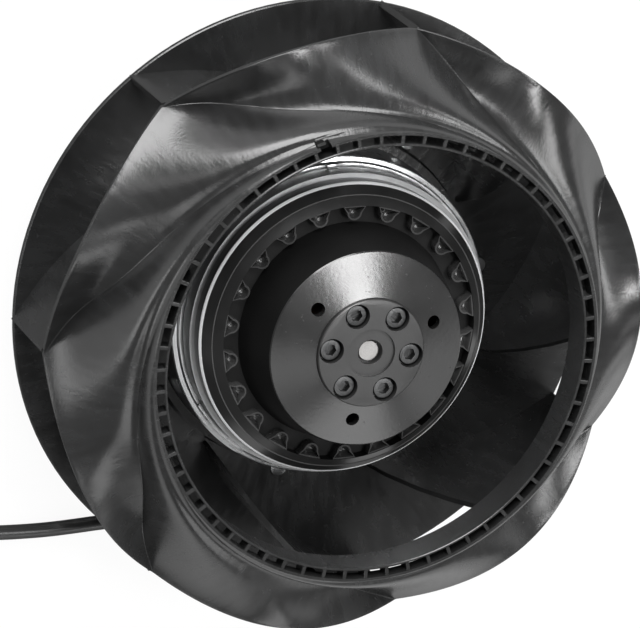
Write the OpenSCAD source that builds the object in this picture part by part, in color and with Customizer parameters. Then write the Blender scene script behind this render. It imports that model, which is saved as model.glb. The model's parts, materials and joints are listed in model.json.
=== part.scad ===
// Plug fan: a backward-curved wheel on an external-rotor motor, inlet up, standing on its mounting face.
// Millimetres, axis of rotation on +Z, origin at the centre of the motor flange's rear face.

/* [Wheel] */
// Outside diameter of the back disc and of the shroud's rim
wheel_d = 225; // [210:1:240]
// Number of blades
blade_count = 7; // [6:1:9]
// Direction of the first blade tip, counter-clockwise from +X
blade_start = 134; // [0:1:359]
// Angle between the blades and the wheel's edge
blade_angle = 32; // [28:1:42]
// Thickness of a blade
blade_t = 2.2; // [1.6:0.1:3]
// Radius where a blade starts on the back disc
blade_in_r = 66; // [65:0.5:72]
// Bulge of the leading edge, 1 is a straight edge
lead_curve = 0.75; // [0.6:0.05:1]
// Thickness of the back disc
disc_t = 2.5; // [2:0.1:4]
// Height of the back disc's underside above the mounting face
disc_rise = 15.5; // [14.5:0.1:18]
// Width of the moulded collar round the disc's hole
disc_collar_w = 3; // [2:0.5:4]
// Height of that collar above the disc
disc_collar_h = 4; // [2:0.5:6]
// Depth that the blades are welded into the shroud
weld_depth = 0.5; // [0.3:0.1:0.8]

/* [Shroud] */
// Height from the back disc to the top of the inlet ring
inlet_h = 74; // [70:1:80]
// Fall of the shroud from the inlet ring to its rim at a blade tip
valley_drop = 38; // [34:1:42]
// Fall of the shroud to its rim midway between two blades
crest_drop = 24; // [20:1:30]
// How early the shroud falls along a blade
valley_curve = 2.7; // [2:0.1:3.2]
// How early the shroud falls midway between two blades
crest_curve = 1.6; // [1.2:0.1:2]
// Lean of the bulge towards the blade ahead, near the inlet
lobe_skew = 0.45; // [0:0.05:0.6]
// Turn of the creases round the inlet ring, beyond the blades' spiral
sweep_turn = 50; // [0:1:56]
// How close to the inlet ring the creases turn
sweep_curve = 8; // [6:0.5:10]
// Wall of the shroud
shroud_t = 2; // [1.6:0.1:2.6]

/* [Inlet ring] */
// Outside diameter of the inlet ring
ring_od = 168.2; // [164:0.2:172]
// Wall on each side of the slots
ring_wall = 1; // [0.8:0.1:1.4]
// Radial width of a slot
slot_w = 3; // [2.4:0.1:3.6]
// Slots in the ring for each blade
slots_per_blade = 9; // [7:1:11]
// Width of the web between two slots
web_t = 1.4; // [1:0.1:2]
// Depth of the slots, and height of the ring's outer wall
web_h = 6; // [4:0.5:8]
// Depth of the webs below the ring's edges
web_sink = 0.2; // [0.1:0.1:0.8]
// Height of the ring's inner wall
throat_h = 13.5; // [9:0.5:15]
// Width of the gate notch in the ring's outer wall
notch_w = 4.2; // [3:0.2:6]
// Direction of the gate notch
notch_dir = 111; // [0:1:359]
// Length of the tab in front of the notch
tab_l = 3.2; // [2:0.2:4]
// Thickness of the tab
tab_t = 1.2; // [0.8:0.1:1.6]
// Height of the tab
tab_h = 4.4; // [4:0.2:5]

/* [Rotor] */
// Outside diameter of the rotor laminations
core_d = 114; // [110:0.5:120]
// Height of the rotor and stator laminations
core_h = 26; // [22:1:30]
// Gap between rotor and stator
air_gap = 0.6; // [0.4:0.1:1]
// Radial width of the rotor laminations
core_w = 12; // [10:0.5:13]
// Height of the cast end ring behind the laminations
cage_h = 6; // [4:0.5:8]
// Diameter of the cast bars through the laminations
bar_d = 4; // [3:0.5:5]
// Number of balancing pads, and of bars
pad_count = 22; // [18:1:24]
// Direction of the first pad
pad_start = 94.7; // [0:0.1:359]
// Length of a pad round the rotor
pad_w = 9; // [7:0.5:10]
// Radial width of a pad
pad_l = 5.6; // [5:0.2:7]
// Width of a pad at its round inner end
pad_end_w = 3.6; // [3:0.2:5]
// Height of a pad above its channel
pad_h = 4.2; // [3.6:0.2:6]
// Wall round the pocket in a pad
pad_wall = 0.9; // [0.6:0.1:1.2]
// Depth of the pocket in a pad
pocket_depth = 3.4; // [2:0.2:4]
// Diameter of the bell's rim
rim_d = 110.4; // [108:0.2:112]
// Height of the rim above the laminations
rim_h = 5.6; // [4:0.2:7]
// Outer radius of the pad channel
channel_r = 48.2; // [47:0.2:49.5]
// Radial width of the pad channel
channel_w = 7.2; // [7:0.2:8]
// Rise of the two sloping bands from rim to channel
band_rise = 6.4; // [5:0.2:7]
// Step between the two sloping bands
band_step = 0.4; // [0.2:0.1:0.8]
// Height of the dome above the channel floor
dome_h = 21; // [18:0.5:24]
// Radius of the edge between the dome's wall and its cone
cone_r = 36.2; // [34:0.2:38]
// Rise of the shallow cone
cone_rise = 3.4; // [2:0.2:5]
// Wall of the bell
bell_t = 2; // [2:0.1:3]
// Diameter of the three holes in the cone
vent_d = 5; // [4:0.5:6]
// Radius of the circle of these holes
vent_r = 26.1; // [25.3:0.1:31]
// Direction of the first of these holes
vent_start = 24; // [0:1:119]

/* [Hub] */
// Diameter of the hub disc
hub_d = 40.4; // [40:0.2:43]
// Height of the hub disc
hub_h = 8.4; // [7:0.1:10]
// How far the hub disc stands above the cone
hub_proud = 1.9; // [1:0.1:3]
// Diameter of the hub's spigot on the shaft
spigot_d = 17; // [15:0.5:18]
// Length of that spigot below the hub disc
spigot_h = 10; // [7:0.5:12]
// Diameter of the recess round the shaft
recess_d = 18; // [14:0.5:20]
// Depth of that recess
recess_depth = 1.2; // [0.6:0.1:2]
// Number of hub screws
screw_count = 6; // [4:1:6]
// Radius of the circle of hub screws
screw_r = 15.3; // [13.6:0.1:15.4]
// Direction of the first hub screw
screw_start = 57; // [0:1:90]
// Thread diameter of the hub screws
screw_d = 5; // [3:0.5:6]
// Diameter of a screw head
head_d = 8; // [7:0.1:8.2]
// Height of a screw head
head_h = 4; // [3:0.5:5]
// Depth of a screw head below the hub's face
head_sink = 1.4; // [0.5:0.1:2]
// Key width of the hexagon socket
key_w = 4; // [2.5:0.5:5]
// Thickness of the bell's seat under the hub disc
seat_t = 5; // [3:0.5:7]
// Diameter of the shaft
shaft_d = 8; // [7:0.5:9]
// Depth of the shaft's end below the hub's face
shaft_sink = 3; // [2:0.2:4]

/* [Carrier ring] */
// Wall of the ring that carries the wheel on the rotor
carrier_t = 3.5; // [2.5:0.1:4.5]
// Height of the ring's top above the mounting face
carrier_top = 41.7; // [36:0.1:46]
// Width of the ring's rolled lip
lip_w = 1.6; // [1:0.1:2]
// Height of the rolled lip
lip_h = 1.8; // [1:0.1:2.5]
// Thickness of the ring's flange under the disc
carrier_flange_t = 2; // [1:0.1:3]
// Width of that flange
carrier_flange_w = 11; // [9:0.5:14]
// Number of stakes on the lip
stake_count = 3; // [3:1:6]
// Direction of the first stake
stake_start = 97; // [0:1:119]
// Length of a stake
stake_w = 4.5; // [3:0.5:6]
// Height of a stake
stake_h = 1.4; // [0.8:0.1:2]
// Shank diameter of the rivets through disc and flange
rivet_d = 3.2; // [2.4:0.1:4]
// Head diameter of these rivets
rivet_head_d = 6; // [5:0.1:7]
// Height of a rivet head
rivet_head_h = 0.8; // [0.5:0.1:1.5]

/* [Motor flange] */
// Height of the motor flange
flange_h = 17; // [16:0.5:20]
// Side wall of the motor flange
flange_wall = 3; // [2.5:0.1:4]
// Rear wall of the motor flange
flange_floor = 3.5; // [3:0.1:4.5]
// Diameter of the circle of mounting holes
mount_pcd = 70; // [64:1:76]
// Diameter of a mounting hole, cut for an M4 thread
mount_hole_d = 3.3; // [2.8:0.1:4]
// Depth of a mounting hole
mount_depth = 10; // [6:0.5:11]
// Diameter of a mounting boss
mount_boss_d = 11; // [9:0.5:12]
// Direction of the first mounting hole
mount_start = 45; // [0:1:89]
// Height of the connection board above the mounting face
board_z = 14; // [12.5:0.1:14.5]
// Thread diameter of the board screws
board_screw_d = 2.5; // [2:0.1:3]
// Head diameter of the board screws
board_head_d = 4.6; // [4:0.1:6]
// Diameter of the bosses under the board
board_boss_d = 6; // [5:0.5:8]
// Thread diameter of the earth screw
earth_d = 4; // [3:0.5:5]
// Diameter of the earth boss
earth_boss_d = 8; // [7:0.5:10]
// Outside diameter of the bearing tube
tube_d = 28; // [26:0.5:30]
// Diameter of the tube's foot, which carries the stator
foot_d = 32; // [31:0.5:34]
// Depth of the ring recess in the rear face
rear_recess = 1.2; // [0.6:0.1:1.6]
// Number of ribs across that recess
rear_ribs = 8; // [4:1:12]

/* [Bearings] */
// Outside diameter of a bearing
bearing_od = 22; // [20:0.5:24]
// Width of a bearing
bearing_w = 7; // [6:0.5:8]
// Balls in a bearing
ball_count = 7; // [6:1:8]
// Diameter of a ball
ball_d = 3.9; // [3.2:0.1:4]
// Height of the rear bearing above the mounting face
rear_bearing_z = 9; // [8:0.1:10]
// Height that the front bearing stands above the laminations
front_bearing_rise = 3.5; // [2:0.1:5]
// Space for the wave spring on the rear bearing
spring_h = 1.7; // [1.4:0.1:2]
// Thickness of the wave spring's strip
spring_t = 0.4; // [0.3:0.1:0.6]

/* [Stator] */
// Stator teeth, and coils
tooth_count = 12; // [6:1:12]
// Width of a tooth
tooth_w = 6; // [5:0.2:6.4]
// Thickness of the tooth tips
tip_t = 3.5; // [2.5:0.1:4]
// Opening between two tooth tips
slot_gap = 3; // [2:0.2:4]
// Diameter of the stator's hub
stator_hub_d = 49; // [46:0.5:54]
// Thickness of the coil bundle beside a tooth
coil_t = 3; // [2:0.1:3.2]
// Height of a coil above the laminations
coil_over = 4.2; // [3:0.1:5.4]
// Thickness of an end insulator
insulator_t = 1; // [0.8:0.1:1.2]

/* [Cable] */
// Diameter of the cable
cable_d = 5.5; // [5:0.1:6]
// Direction in which the cable leaves the flange
gland_dir = 250; // [246:1:254]
// Height of the cable gland's axis
gland_z = 6; // [5.6:0.1:6.6]
// Diameter of the gland's collar
gland_d = 11; // [10:0.2:11.4]
// Length of the gland's taper
gland_l = 20; // [17:0.5:22]
// Mean radius of the cable coil
coil_r = 27.25; // [26:0.25:30]
// Thickness of the cable tie
tie_t = 0.8; // [0.6:0.1:1.2]
// Width of the cable tie
tie_w = 4; // [3:0.5:5]

/* [Clearances] */
// Gap between two pieces that seat on each other
seat = 0.1; // [0.05:0.01:0.15]
// Radial gap between a bearing's bore and the shaft
shaft_fit = 0.02; // [0.01:0.01:0.05]
// Gap between rotor and stator pieces that face each other
end_gap = 0.8; // [0.6:0.1:1.2]
// Gap between the rotor's end ring and the motor flange
rear_gap = 2; // [1.5:0.1:3]
// Gap between the motor flange and the ring that turns round it
flange_gap = 3.1; // [2:0.1:5]

/* [Hidden] */
$fn = 96;

// Wheel
wheel_r = wheel_d / 2;
disc_top = disc_rise + disc_t;
ring_top = disc_top + inlet_h;
ring_r = ring_od / 2;
slot_out_r = ring_r - ring_wall;
slot_in_r = slot_out_r - slot_w;
throat_r = slot_in_r - ring_wall;
slot_count = blade_count * slots_per_blade;
pitch = 360 / blade_count;
lobe_steps = 18;
fall_steps = 10;
blade_steps = 12;
lead_steps = 5;
lead_start = 0.1;
slope_step = 0.001;

// Rotor stack, from the mounting face up
core_r = core_d / 2;
core_in_r = core_r - core_w;
cage_z = flange_h + rear_gap;
core_z = cage_z + cage_h;
core_top = core_z + core_h;
rim_r = rim_d / 2;
rim_z = core_top + rim_h;
chamfer = 0.4;
rim_ease = 0.8;
pad_bite = 0.2;
tab_gap = 0.5;
tab_shift = 1.2;
tab_sink = 0.6;
floor_in_z = core_top + coil_over + end_gap;
channel_z = floor_in_z + bell_t;
channel_in_r = channel_r - channel_w;
band_top = rim_z + band_rise;
band_mid_r = (rim_r + channel_r) / 2;
cone_z = channel_z + dome_h;
cone_top = cone_z + cone_rise;
hub_r = hub_d / 2;
hub_top = cone_top + hub_proud;
hub_z = hub_top - hub_h;
seat_top = hub_z - seat;
seat_z = seat_top - seat_t;
cone_wall = 2.5;
skirt_in_r = core_in_r + 1;
pad_end_r = pad_end_w / 2;
pad_end_x = channel_r - pad_l + pad_end_r;
pad_top = channel_z + pad_h;
bar_r = core_in_r + core_w / 2;

// Hub
shaft_r = shaft_d / 2;
shaft_top = hub_top - shaft_sink;
shaft_end = 4.5;
shaft_bore_r = shaft_r + shaft_fit;
shaft_view_d = shaft_d + 1.4;
spigot_z = hub_z - spigot_h;
screw_top = hub_top - head_sink;
screw_shoulder = screw_top - head_h;
pocket_play = 0.6;
screw_play = 0.15;

// Carrier ring
carrier_r = core_r + seat;
carrier_out_r = carrier_r + carrier_t;
carrier_z = disc_rise - seat - carrier_flange_t;
carrier_flange_r = carrier_out_r + carrier_flange_w;
disc_hole_r = carrier_out_r + seat;
rivet_r = (carrier_out_r + disc_collar_w + carrier_flange_r) / 2;
rivet_hole_d = rivet_d + 2 * seat;

// Motor flange
flange_r = carrier_r - flange_gap;
tube_r = tube_d / 2;
foot_r = foot_d / 2;
foot_top = core_z - insulator_t - 2 * seat;
bearing_r = bearing_od / 2;
bearing_seat_r = bearing_r + seat / 5;
front_bearing_z = core_top + front_bearing_rise;
tube_top = front_bearing_z + bearing_w + 0.5;
tube_bore_r = bearing_r - 2;
spring_z = rear_bearing_z + bearing_w + 2 * seat;
boss_top = board_z - seat;
board_t = 1.6;
board_r = flange_r - flange_wall - 2;
board_in_r = foot_r + 1;
board_screw_r = board_in_r + 4;
board_screw_l = 6;
board_cut_w = 24;
board_cut_l = 9;
cap_z = 0.8;
cap_t = 2;

// Bearings
ball_r = ball_d / 2;
ball_ring_r = (bearing_r + shaft_r) / 2;
race_r = ball_r + 0.1;
inner_race_r = ball_ring_r - 1.4;
outer_race_r = ball_ring_r + 1.4;
shield_t = 0.3;

// Stator
stator_r = core_in_r - air_gap;
stator_bore_r = tube_r + seat;
tooth_end_r = stator_r - tip_t;
coil_in_r = stator_hub_d / 2 + 1.2;
coil_out_r = tooth_end_r - 0.9;

// Cable, in plan on the floor
cable_r = cable_d / 2;
gland_r = gland_d / 2;
gland_hole_r = gland_r - 1;
gland_tip_r = cable_r + 1;
gland_in_r = flange_r - flange_wall - 1;
gland_root = flange_r + seat;
gland_collar_l = 3;
gland_end = gland_root + gland_collar_l + gland_l;
coil_low = tie_t + seat;
coil_half_w = cable_d + seat;
gland_tip = [gland_end * cos(gland_dir), gland_end * sin(gland_dir)];
coil_centre = gland_tip + [-119.6, 5.4];
// Points of the cable's middle between the gland's end and the coil, from the gland's end, with their heights
cable_route = [[-1.9, -4.8, 5.6], [-4.8, -9.6, 4.9], [-9, -13.8, 4.2], [-14.6, -17, 3.6], [-21.6, -19.2, 3.2],
    [-29.6, -20.6, 3], [-39.6, -21.7, 3], [-48.2, -22.8, 3], [-57.9, -23.9, 3], [-67.6, -24.6, 3],
    [-77.6, -24.9, 3.2], [-87.6, -25, 3.4], [-97.6, -24.8, 3.6], [-107.6, -24.6, 3.7]];

// A point at a radius, an angle and a height
function polar(r, a, z) = [r * cos(a), r * sin(a), z];

// Turn of the blades' spiral at a radius, 0 at the rim
function spiral(r) = -ln(wheel_r / r) / tan(blade_angle) * 180 / PI;

// Radius of the shroud's outside at t, from 0 at the inlet ring to 1 at the rim
function fall_r(t) = ring_r + (wheel_r - ring_r) * t;

// Turn of the creases round the inlet ring at t, and their whole turn
function sweep(t) = sweep_turn * pow(1 - t, sweep_curve);
function crease_turn(t) = spiral(fall_r(t)) - sweep(t);

// Fall of the shroud at t, s of the way from one crease to the next
function valley(t) = valley_drop * (1 - pow(1 - t, valley_curve));
function crest(t) = crest_drop * (1 - pow(1 - t, crest_curve));
function lobe(s, t) = sin(180 * pow(s, 1 - lobe_skew * (1 - t)));
function fall(s, t) = valley(t) - (valley(t) - crest(t)) * lobe(s, t);
function fall_slope(s, t) =
    let (t1 = min(1, t + slope_step), t0 = t1 - 2 * slope_step)
    (fall(s, t1) - fall(s, t0)) / (fall_r(t1) - fall_r(t0));

// Steps down the shroud, closer together near the inlet ring
function fall_step(j) = pow(j / fall_steps, 1.6);

// Wall of the shroud at t, thin where it meets the inlet ring
function wall_at(t) = ring_wall + (shroud_t - ring_wall) * min(1, 3 * t);

// Radius and height of the shroud's outside and inside
function outside(s, t) = [fall_r(t), ring_top - fall(s, t)];
function inside(s, t) =
    let (m = fall_slope(s, t), k = sqrt(1 + m * m), w = wall_at(t))
    [fall_r(t) - w * m / k, ring_top - fall(s, t) - w / k];

// Closed skin through rings of points, all of the same number; ends are capped unless it runs round
module loft(rings, round_trip = false) {
    n = len(rings);
    m = len(rings[0]);
    last = round_trip ? n - 1 : n - 2;
    sides = [for (i = [0 : last], j = [0 : m - 1])
        let (a = i * m + j, b = i * m + (j + 1) % m, c = ((i + 1) % n) * m + (j + 1) % m,
            d = ((i + 1) % n) * m + j)
        each [[a, b, c], [a, c, d]]];
    caps = round_trip ? [] : [[for (j = [m - 1 : -1 : 0]) j], [for (j = [0 : m - 1]) (n - 1) * m + j]];
    polyhedron([for (ring = rings) each ring], concat(sides, caps));
}

// Copies of a piece round the axis
module around(count, start = 0) {
    for (i = [0 : count - 1]) rotate(start + 360 * i / count) children();
}

// Flat ring between two radii
module ring(r_out, r_in, z, h) {
    translate([0, 0, z]) difference() {
        cylinder(r = r_out, h = h);
        translate([0, 0, -1]) cylinder(r = r_in, h = h + 2);
    }
}

// Rectangle with round corners
module soft_square(w, h, r) {
    square([w - 2 * r, h], center = true);
    square([w, h - 2 * r], center = true);
    for (x = [-1, 1], y = [-1, 1]) translate([x * (w / 2 - r), y * (h / 2 - r)]) circle(r, $fn = 32);
}

// Section of the shroud's wall at one of its steps round the wheel
function shroud_section(i) =
    let (s = (i % lobe_steps) / lobe_steps, a = blade_start + i * pitch / lobe_steps, low = ring_top - web_h)
    concat(
        [for (j = [fall_steps : -1 : 0])
            let (t = fall_step(j), p = outside(s, t)) polar(p[0], a + crease_turn(t), p[1])],
        [for (j = [0 : 2]) polar(slot_out_r, a + crease_turn(fall_step(j)), ring_top - web_h * j / 2)],
        [polar(ring_r, a + crease_turn(fall_step(2)), low)],
        [for (j = [2 : fall_steps])
            let (t = fall_step(j), p = inside(s, t)) polar(p[0], a + crease_turn(t), min(p[1], low))]);

// Wavy front shroud with its slotted inlet ring
module front_shroud() {
    color("#1d1d1f") {
        difference() {
            loft([for (i = [0 : blade_count * lobe_steps - 1]) shroud_section(i)], true);
            rotate(notch_dir) translate([slot_in_r, -notch_w / 2, ring_top - web_h / 2])
                cube([slot_w + 3 * ring_wall, notch_w, web_h]);
        }
        rotate(notch_dir) translate([ring_r + tab_gap, tab_shift - tab_l / 2, ring_top - tab_sink - tab_h])
            cube([tab_t, tab_l, tab_h]);
        ring(slot_in_r, throat_r, ring_top - throat_h, throat_h);
        around(slot_count, notch_dir + 180 / slot_count) translate([slot_in_r - ring_wall / 2, -web_t / 2,
            ring_top - web_h + web_sink]) cube([slot_w + ring_wall, web_t, web_h - 2 * web_sink]);
    }
}

// Corners of a blade at a radius: foot and top on both of its sides
function blade_ring(r, top, half) =
    let (a = blade_start + spiral(r), side = a + 180 - blade_angle, m = polar(r, a, 0),
        n = [half * cos(side), half * sin(side), 0], low = [0, 0, disc_top - disc_t / 2], high = [0, 0, top])
    [m + n + low, m - n + low, m - n + high, m + n + high];

// Radius and height of the shroud's inside at t, above a blade
function above_blade(t) =
    let (p = inside(sweep(t) / pitch, t), s = (sweep(t) + spiral(p[0]) - spiral(fall_r(t))) / pitch)
    inside(s - floor(s), t);

// Heights along a blade: up the leading edge, then along the shroud's inside
lead_top = above_blade(lead_start);
lead_rings = [for (j = [0 : lead_steps - 1])
    let (u = j / lead_steps)
    blade_ring(blade_in_r + (lead_top[0] - blade_in_r) * u,
        disc_top + 1 + (lead_top[1] - disc_top - 1) * pow(u, lead_curve), blade_t * (0.3 + 0.2 * u))];
shroud_rings = [for (j = [0 : blade_steps])
    let (t = lead_start + (1 - lead_start) * j / blade_steps, p = above_blade(t))
    blade_ring(min(p[0], wheel_r - 0.3), p[1] + weld_depth, blade_t / 2)];

// Copies round the wheel, midway between the blades' inner ends
module between_blades() {
    around(blade_count, blade_start + spiral(rivet_r) + pitch / 2) translate([rivet_r, 0, 0]) children();
}

// Back disc with its blades, one moulding
module blade_disc() {
    color("#1d1d1f") difference() {
        union() {
            rotate_extrude() polygon([[disc_hole_r, disc_rise], [wheel_r - chamfer, disc_rise],
                [wheel_r, disc_rise + chamfer], [wheel_r, disc_top - chamfer], [wheel_r - chamfer, disc_top],
                [disc_hole_r + disc_collar_w + 1, disc_top], [disc_hole_r + disc_collar_w, disc_top + 1],
                [disc_hole_r + disc_collar_w, disc_top + disc_collar_h],
                [disc_hole_r, disc_top + disc_collar_h]]);
            around(blade_count) loft(concat(lead_rings, shroud_rings));
        }
        between_blades() translate([0, 0, disc_rise - 1]) cylinder(d = rivet_hole_d, h = disc_t + 2);
    }
}

// Zinc-plated steel ring that carries the wheel on the rotor
module carrier_ring() {
    color("#b9bbbd") difference() {
        union() {
            rotate_extrude() polygon([[carrier_r, carrier_z], [carrier_flange_r, carrier_z],
                [carrier_flange_r, carrier_z + carrier_flange_t], [carrier_out_r, carrier_z + carrier_flange_t],
                [carrier_out_r, carrier_top - chamfer], [carrier_out_r - chamfer, carrier_top],
                [carrier_r + lip_w, carrier_top], [carrier_r + lip_w, carrier_top + lip_h - chamfer],
                [carrier_r + lip_w - chamfer, carrier_top + lip_h], [carrier_r, carrier_top + lip_h]]);
            around(stake_count, stake_start) translate([carrier_r + lip_w / 8, -stake_w / 2, carrier_top])
                cube([lip_w * 3 / 4, stake_w, lip_h + stake_h]);
        }
        between_blades() translate([0, 0, carrier_z - 1]) cylinder(d = rivet_hole_d, h = carrier_flange_t + 2);
    }
}

// Rivets through the back disc and the carrier ring's flange
module disc_rivets() {
    color("#9a9c9e") between_blades() {
        translate([0, 0, carrier_z - seat]) cylinder(d = rivet_d, h = disc_top - carrier_z + 2 * seat);
        translate([0, 0, carrier_z - seat - rivet_head_h]) cylinder(d = rivet_head_d, h = rivet_head_h);
        translate([0, 0, disc_top + seat]) cylinder(d = rivet_head_d, h = rivet_head_h);
    }
}

// Ring of laminations in the rotor, with holes for the cast bars
module rotor_core() {
    color("#8f9194") difference() {
        ring(core_r, core_in_r, core_z, core_h);
        around(pad_count, pad_start) translate([bar_r, 0, core_z - 1])
            cylinder(d = bar_d + 2 * seat, h = core_h + 2);
    }
}

// Cast end ring with the bars that run through the laminations
module rotor_cage() {
    color("#a8abae") {
        ring(core_r - 1, core_in_r + 1, cage_z, cage_h - seat);
        around(pad_count, pad_start) translate([bar_r, 0, cage_z]) cylinder(d = bar_d, h = cage_h + core_h);
    }
}

// Outline of the bell: sloping bands, pad channel, dome, cone and hub seat, then back along the inside
function bell_outline() = [[skirt_in_r, core_top + seat], [rim_r, core_top + seat], [rim_r, rim_z - rim_ease],
    [rim_r - rim_ease, rim_z], [band_mid_r, (rim_z + band_top) / 2],
    [band_mid_r - band_step, (rim_z + band_top) / 2], [channel_r, band_top - band_step],
    [channel_r, channel_z], [channel_in_r, channel_z], [cone_r + chamfer, cone_z - chamfer], [cone_r, cone_z],
    [hub_r + seat, cone_top], [hub_r + seat, seat_top], [spigot_d / 2 + seat, seat_top],
    [spigot_d / 2 + seat, seat_z], [hub_r + cone_wall, seat_z], [hub_r + cone_wall, cone_top - cone_wall - 1],
    [cone_r - cone_wall, cone_z - cone_wall], [channel_in_r - cone_wall, floor_in_z],
    [skirt_in_r, floor_in_z]];

// Plan of a balancing pad, with a round inner end
module pad_plan(inset) {
    r = pad_end_r - inset;
    w = pad_w / 2 - inset;
    translate([pad_end_x, 0]) circle(r, $fn = 32);
    polygon([[pad_end_x, -r], [channel_r + pad_bite - inset, -w], [channel_r + pad_bite - inset, w],
        [pad_end_x, r]]);
}

// Rotor bell with its ring of balancing pads
module rotor_bell() {
    color("#232325") difference() {
        union() {
            rotate_extrude() polygon(bell_outline());
            around(pad_count, pad_start) translate([0, 0, channel_z - bell_t / 2])
                linear_extrude(pad_h + bell_t / 2) pad_plan(0);
        }
        around(pad_count, pad_start) translate([0, 0, pad_top - pocket_depth])
            linear_extrude(pocket_depth + 1) pad_plan(pad_wall);
        around(3, vent_start) translate([vent_r, 0, seat_z]) cylinder(d = vent_d, h = hub_top, $fn = 48);
        around(screw_count, screw_start) translate([screw_r, 0, seat_z - 1])
            cylinder(d = screw_d + 2 * seat, h = seat_t + 2, $fn = 48);
    }
}

// Hub disc on the shaft, with sunk pockets for its screws
module hub_disc() {
    color("#2a2a2c") difference() {
        rotate_extrude() polygon([[0, spigot_z], [spigot_d / 2, spigot_z], [spigot_d / 2, hub_z],
            [hub_r, hub_z], [hub_r, hub_top - chamfer], [hub_r - chamfer, hub_top], [0, hub_top]]);
        translate([0, 0, spigot_z - 1]) cylinder(r = shaft_bore_r, h = hub_top);
        translate([0, 0, hub_top - recess_depth]) cylinder(d = recess_d, h = recess_depth + 1);
        translate([0, 0, shaft_top - 1]) cylinder(d = shaft_view_d, h = hub_top);
        around(screw_count, screw_start) translate([screw_r, 0, 0]) {
            translate([0, 0, screw_shoulder - seat])
                cylinder(d = head_d + 2 * pocket_play, h = hub_top, $fn = 48);
            translate([0, 0, hub_z - 1]) cylinder(d = screw_d + 2 * screw_play, h = hub_h, $fn = 48);
        }
    }
}

// Socket-head screws that hold the hub disc to the bell
module hub_screws() {
    color("#3a3a3c") around(screw_count, screw_start) translate([screw_r, 0, 0]) difference() {
        union() {
            translate([0, 0, seat_z + 0.5]) cylinder(d = screw_d, h = screw_shoulder - seat_z, $fn = 48);
            translate([0, 0, screw_shoulder]) cylinder(d = head_d, h = head_h - chamfer, $fn = 48);
            translate([0, 0, screw_top - chamfer])
                cylinder(d1 = head_d, d2 = head_d - 2 * chamfer, h = chamfer, $fn = 48);
        }
        translate([0, 0, screw_top - head_h * 0.6]) cylinder(d = key_w / cos(30), h = head_h, $fn = 6);
    }
}

// Shaft with a groove for its retaining ring
clip_t = 1;
clip_z = rear_bearing_z - seat - clip_t;
groove_r = shaft_r - 0.7;
module shaft() {
    color("#d5d6d8") rotate_extrude() polygon([[0, shaft_end], [shaft_r - chamfer, shaft_end],
        [shaft_r, shaft_end + chamfer], [shaft_r, clip_z - seat], [groove_r, clip_z - seat],
        [groove_r, clip_z + clip_t + seat / 2], [shaft_r, clip_z + clip_t + seat / 2],
        [shaft_r, shaft_top - chamfer], [shaft_r - chamfer, shaft_top], [0, shaft_top]]);
}

// Retaining ring under the rear bearing
module retaining_ring() {
    color("#6a6a6a") {
        rotate([0, 0, 20]) rotate_extrude(angle = 320)
            translate([groove_r + seat, clip_z]) square([2.4, clip_t]);
        for (a = [20, -20]) rotate(a) translate([groove_r + 2, 0, clip_z])
            cylinder(r = 1, h = clip_t, $fn = 24);
    }
}

// Sleeve between the front bearing and the hub's spigot
module front_spacer() {
    color("#c2c3c5") ring(shaft_r + 2, shaft_bore_r, front_bearing_z + bearing_w + seat,
        spigot_z - front_bearing_z - bearing_w - 2 * seat);
}

// Inner ring of a bearing, with its groove
module bearing_inner(z) {
    color("#c9cacc") translate([0, 0, z]) rotate_extrude() difference() {
        translate([shaft_bore_r, 0]) square([inner_race_r - shaft_bore_r, bearing_w]);
        translate([ball_ring_r, bearing_w / 2]) circle(race_r);
    }
}

// Outer ring of a bearing, with its groove
module bearing_outer(z) {
    color("#c9cacc") translate([0, 0, z]) rotate_extrude() difference() {
        translate([outer_race_r, 0]) square([bearing_r - outer_race_r, bearing_w]);
        translate([ball_ring_r, bearing_w / 2]) circle(race_r);
    }
}

// Balls of a bearing
module bearing_balls(z) {
    color("#d9dadc") around(ball_count) translate([ball_ring_r, 0, z + bearing_w / 2]) sphere(ball_r, $fn = 32);
}

module front_bearing_inner() { bearing_inner(front_bearing_z); }
module rear_bearing_inner() { bearing_inner(rear_bearing_z); }
module front_bearing_outer() { bearing_outer(front_bearing_z); }
module rear_bearing_outer() { bearing_outer(rear_bearing_z); }
module front_bearing_balls() { bearing_balls(front_bearing_z); }
module rear_bearing_balls() { bearing_balls(rear_bearing_z); }

// Cages that space the balls
module ball_cages() {
    color("#cfa85a") for (z = [rear_bearing_z, front_bearing_z]) difference() {
        ring(ball_ring_r + 0.7, ball_ring_r - 0.7, z + 0.8, bearing_w - 1.6);
        around(ball_count) translate([ball_ring_r, 0, z + bearing_w / 2]) rotate([0, 90, 0])
            cylinder(r = race_r, h = 4, center = true, $fn = 32);
    }
}

// Shields that close the bearings
module bearing_shields() {
    color("#aeb0b2") for (z = [rear_bearing_z, front_bearing_z], side = [0, 1])
        ring(outer_race_r - seat / 2, inner_race_r + seat, z + side * (bearing_w - shield_t), shield_t);
}

// Wave spring that preloads the rear bearing
spring_in_r = tube_bore_r + 0.2;
spring_out_r = bearing_r - 0.2;
spring_rings = [for (i = [0 : 47])
    let (a = i * 7.5, z = spring_z + (spring_h - spring_t - seat) * (0.5 + 0.5 * sin(3 * a)))
    [polar(spring_in_r, a, z), polar(spring_out_r, a, z), polar(spring_out_r, a, z + spring_t),
        polar(spring_in_r, a, z + spring_t)]];
module preload_spring() {
    color("#8d8f91") loft(spring_rings, true);
}

// Copies on the circle of mounting bosses
module on_mounts() {
    around(4, mount_start) translate([mount_pcd / 2, 0, 0]) children();
}

// Copies on the circle of board screws
module on_board_screws() {
    around(3, 90) translate([board_screw_r, 0, 0]) children();
}

// Earth boss beside the gland
earth_dir = gland_dir + 38;
earth_r = flange_r - flange_wall - 6;
earth_top = flange_floor + 3;
module on_earth() {
    rotate(earth_dir) translate([earth_r, 0, 0]) children();
}

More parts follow.
